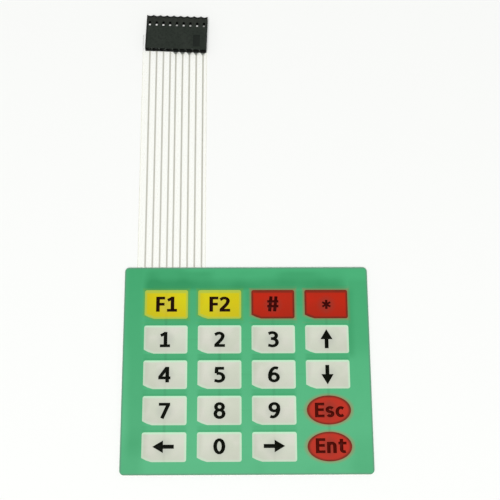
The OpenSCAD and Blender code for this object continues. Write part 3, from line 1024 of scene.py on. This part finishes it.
# where each legend goes: column, row, signs as (name, shift), size, weight, rise
legendPlaces = {
    "umber": [
        (0, 0, [("F", -1.97), ("1", 2.08)], 1.0, 1.0, 0.28),
        (1, 0, [("F", -1.98), ("2", 1.69)], 1.0, 1.0, 0.26),
    ],
    "black": [
        (0, 1, [("1", -0.14)], 1.0, 1.0, -0.02),
        (1, 1, [("2", -0.1)], 1.0, 1.0, 0.02),
        (2, 1, [("3", -0.09)], 1.0, 1.0, -0.02),
        (0, 2, [("4", -0.22)], 1.0, 1.0, 0.03),
        (1, 2, [("5", -0.05)], 1.0, 1.0, -0.05),
        (2, 2, [("6", -0.1)], 1.0, 1.0, 0.07),
        (0, 3, [("7", -0.1)], 1.0, 1.0, -0.06),
        (1, 3, [("8", -0.12)], 1.0, 1.0, -0.07),
        (2, 3, [("9", -0.09)], 1.0, 1.0, -0.1),
        (1, 4, [("0", -0.14)], 1.0, 1.0, 0.21),
    ],
    "brown": [
        (2, 0, [("#", -0.02)], 1.0, 0.86, 0.32),
        (3, 0, [("*", 0.08)], 1.0, 0.66, 0.08),
    ],
    "rust": [
        (3, 3, [("E", -3.37), ("s", 0.38), ("c", 4.08)], 0.92, 0.92, -0.01),
        (3, 4, [("E", -3.34), ("n", 0.71), ("t", 4.61)], 0.92, 0.92, 0.27),
    ],
}
# column, row, turn, length, shift and rise of each arrow
arrows = {
    "headLength": 3.55,
    "headWidth": 4.2,
    "tipWidth": 0.02,
    "stemWidth": 1.34,
    "stemInHead": 0.4,
    "places": [(3, 1, 90, 6.75, -0.17, 0.12), (3, 2, 270, 6.75, -0.17, -0.16),
               (0, 4, 180, 7.2, -0.26, 0.14), (2, 4, 0, 7.2, -0.05, 0.25)],
}


def strokeTree():
    # a pen ribbon along every stroke, joined into one closed print
    tree = bpy.data.node_groups.new("penStrokes", "GeometryNodeTree")
    sockets = tree.interface
    sockets.new_socket("Geometry", in_out="INPUT", socket_type="NodeSocketGeometry")
    for name in ("Pen Width", "Bottom", "Top", "Merge Within"):
        sockets.new_socket(name, in_out="INPUT", socket_type="NodeSocketFloat")
    sockets.new_socket("Ink", in_out="INPUT", socket_type="NodeSocketMaterial")
    sockets.new_socket("Geometry", in_out="OUTPUT", socket_type="NodeSocketGeometry")
    start = addNode(tree, "NodeGroupInput").outputs
    upright = addNode(tree, "GeometryNodeSetCurveNormal", {"mode": "Z_UP"}, Curve=start["Geometry"])
    profile = addNode(tree, "GeometryNodeCurvePrimitiveQuadrilateral",
                      Width=start["Pen Width"], Height=start["Pen Width"])
    radius = addNode(tree, "GeometryNodeInputRadius")
    ribbon = addNode(tree, "GeometryNodeCurveToMesh", Curve=upright, Profile_Curve=profile,
                     Scale=radius, Fill_Caps=True)
    # points above the stroke go to the print's top, the others to its bottom
    position = addNode(tree, "GeometryNodeInputPosition")
    split = addNode(tree, "ShaderNodeSeparateXYZ", in0=position).outputs
    above = addNode(tree, "FunctionNodeCompare", {"data_type": "FLOAT", "operation": "GREATER_THAN"},
                    in0=split["Z"])
    height = addNode(tree, "GeometryNodeSwitch", {"input_type": "FLOAT"},
                     in0=above, in1=start["Bottom"], in2=start["Top"])
    place = addNode(tree, "ShaderNodeCombineXYZ", X=split["X"], Y=split["Y"], Z=height)
    flatten = addNode(tree, "GeometryNodeSetPosition", Geometry=ribbon, Position=place)
    union = addNode(tree, "GeometryNodeMeshBoolean", {"operation": "UNION", "solver": "EXACT"},
                    Mesh_2=flatten, Self_Intersection=True)
    # slivers that the union leaves between strokes are merged away
    merge = addNode(tree, "GeometryNodeMergeByDistance", Geometry=union, Distance=start["Merge Within"])
    realize = addNode(tree, "GeometryNodeRealizeInstances", Geometry=merge)
    ink = addNode(tree, "GeometryNodeSetMaterial", Geometry=realize, Material=start["Ink"])
    addNode(tree, "NodeGroupOutput", Geometry=ink)
    return tree


def socketOf(tree, name):
    for item in tree.interface.items_tree:
        if item.in_out == "INPUT" and item.name == name:
            return item.identifier


def bake(carrier, tree, name, values):
    # runs a tree on the carrier and returns the result as a plain mesh object
    modifier = carrier.modifiers.new(tree.name, "NODES")
    modifier.node_group = tree
    for key, value in values.items():
        modifier[socketOf(tree, key)] = value
    bpy.context.view_layer.update()
    evaluated = carrier.evaluated_get(bpy.context.evaluated_depsgraph_get())
    mesh = bpy.data.meshes.new_from_object(evaluated)
    made = bpy.data.objects.new(name, mesh)
    mesh.name = name
    bpy.context.scene.collection.objects.link(made)
    carrier.modifiers.remove(modifier)
    bpy.data.objects.remove(carrier)
    return made


def isClosed(stroke):
    return math.dist(stroke[0][:2], stroke[-1][:2]) < legend["closeTo"]


def penned(points, size, weight):
    # gives each point of a stroke the broad pen's width for its direction
    closed = isClosed(points)
    last = len(points) - 1
    made = []
    for k, (x, y) in enumerate(points):
        before = points[last - 1] if closed and k == 0 else points[max(k - 1, 0)]
        after = points[1] if closed and k == last else points[min(k + 1, last)]
        rise = (after[1] - before[1]) / math.dist(before, after)
        width = legend["level"] + (legend["upright"] - legend["level"]) * rise * rise
        made.append((x * size, y * size, width * weight))
    return made


def keyStrokes(places):
    # every stroke of the signs at these places, as points of (x, y, width)
    shapes = glyphs()
    strokes = []
    for column, row, signs, size, weight, lift in places:
        left = columnX(column)
        low = rowY(row) + lift
        for name, shift in signs:
            for points in shapes[name]:
                stroke = penned([(x + shift, y) for x, y in points], size, weight)
                strokes.append([(left + x, low + y, width) for x, y, width in stroke])
    return strokes


def arrowStrokes():
    # a stem and a head for each arrow, in the same form
    strokes = []
    for column, row, turn, length, shift, lift in arrows["places"]:
        way = Vector((math.cos(math.radians(turn)), math.sin(math.radians(turn))))
        middle = Vector((columnX(column) + shift, rowY(row) + lift))
        foot = middle - way * length / 2
        tip = middle + way * length / 2
        neck = tip - way * arrows["headLength"]
        joint = neck + way * arrows["stemInHead"]
        strokes.append([(*foot, arrows["stemWidth"]), (*joint, arrows["stemWidth"])])
        strokes.append([(*neck, arrows["headWidth"]), (*tip, arrows["tipWidth"])])
    return strokes


def strokeCurve(name, strokes):
    # a curve with the width as its radius, which carries the stroke tree
    curve = bpy.data.curves.new(name, "CURVE")
    curve.dimensions = "3D"
    for stroke in strokes:
        closed = isClosed(stroke)
        points = stroke[:-1] if closed else stroke
        spline = curve.splines.new("POLY")
        spline.points.add(len(points) - 1)
        for point, (x, y, width) in zip(spline.points, points):
            point.co = (x * mm, y * mm, 0, 1)
            point.radius = width
        spline.use_cyclic_u = closed
    carrier = bpy.data.objects.new(name, curve)
    bpy.context.scene.collection.objects.link(carrier)
    return carrier


def makeLegends():
    tree = strokeTree()
    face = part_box("white_key_print")[1].z
    inks = {tone: legendMaterial(ink["material"], ink["tone"]) for tone, ink in legendInks.items()}
    for tone, places in legendPlaces.items():
        strokes = keyStrokes(places)
        if tone == "black":
            strokes += arrowStrokes()
        values = {
            "Pen Width": mm,
            "Bottom": face - legend["inkSunk"] * mm,
            "Top": face + legend["inkThickness"] * mm,
            "Merge Within": legend["mergeWithin"] * mm,
            "Ink": inks[tone],
        }
        piece = bake(strokeCurve("strokes_" + tone, strokes), tree, "legends_" + tone, values)
        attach(piece, "root")
        print("stage: legends", tone, len(piece.data.polygons), "faces")


# table and light, in metres
studio = {
    "floorSize": 3.0,
    "floorDrop": 0.00005,
    "floorColour": linear(247, 248, 246),
    "floorRough": 0.9,
    "floorSpecular": 0.1,
    "skyStrength": 0.25,
    "seenStrength": 1.0,
    "lampPower": 96,
    "lampSize": 1.5,
    "lampPlace": (-0.15, -1.2, 3.0),
    "lampAim": (0, 0.04, 0),
    "clearLayers": 24,  # how many clear faces of the tail a ray may pass
}
# camera, in millimetres and degrees
view = {
    "place": (-3.398, -78.09, 377.363),
    "turn": (17.763, -0.629, -0.321),
    "lens": 80.414,
    "sensor": 36,
    "nearest": 10,
}


def makeFloor():
    half = studio["floorSize"] / 2
    mesh = bpy.data.meshes.new("floor")
    corners = [(-half, -half, 0), (half, -half, 0), (half, half, 0), (-half, half, 0)]
    mesh.from_pydata(corners, [], [(0, 1, 2, 3)])
    floor = bpy.data.objects.new("floor", mesh)
    floor.location.z = -studio["floorDrop"]
    bpy.context.scene.collection.objects.link(floor)
    white = newMaterial("floorWhite", Base_Color=studio["floorColour"], Roughness=studio["floorRough"],
                        Specular_IOR_Level=studio["floorSpecular"])
    mesh.materials.append(white.owner)


def makeSky():
    # soft light from all round, and a brighter white where the sky is seen or mirrored
    sky = Shade(bpy.data.worlds.new("softWorld"), "Background", Color=(1, 1, 1, 1))
    seen = sky.anyRay("Camera", "Glossy", "Transmission")
    brighter = seen * (studio["seenStrength"] - studio["skyStrength"])
    bpy.context.scene.world = sky.finish(Strength=brighter + studio["skyStrength"])


def makeLamp():
    data = bpy.data.lights.new("softLamp", "AREA")
    data.energy = studio["lampPower"]
    data.size = studio["lampSize"]
    lamp = bpy.data.objects.new("softLamp", data)
    lamp.location = Vector(studio["lampPlace"])
    lamp.rotation_euler = (Vector(studio["lampAim"]) - lamp.location).to_track_quat("-Z", "Y").to_euler()
    bpy.context.scene.collection.objects.link(lamp)


def makeCamera():
    data = bpy.data.cameras.new("view")
    data.lens = view["lens"]
    data.sensor_width = view["sensor"]
    data.clip_start = view["nearest"] * mm
    camera = bpy.data.objects.new("view", data)
    camera.location = Vector(view["place"]) * mm
    camera.rotation_euler = Euler([math.radians(v) for v in view["turn"]], "XYZ")
    bpy.context.scene.collection.objects.link(camera)
    bpy.context.scene.camera = camera


makeCamera()
makeFloor()
makeSky()
makeLamp()
print("stage: camera, floor and light")
dressNodes()
makeLegends()
bpy.context.scene.view_settings.view_transform = "Standard"
bpy.context.scene.cycles.transparent_max_bounces = studio["clearLayers"]
print("stage: done")
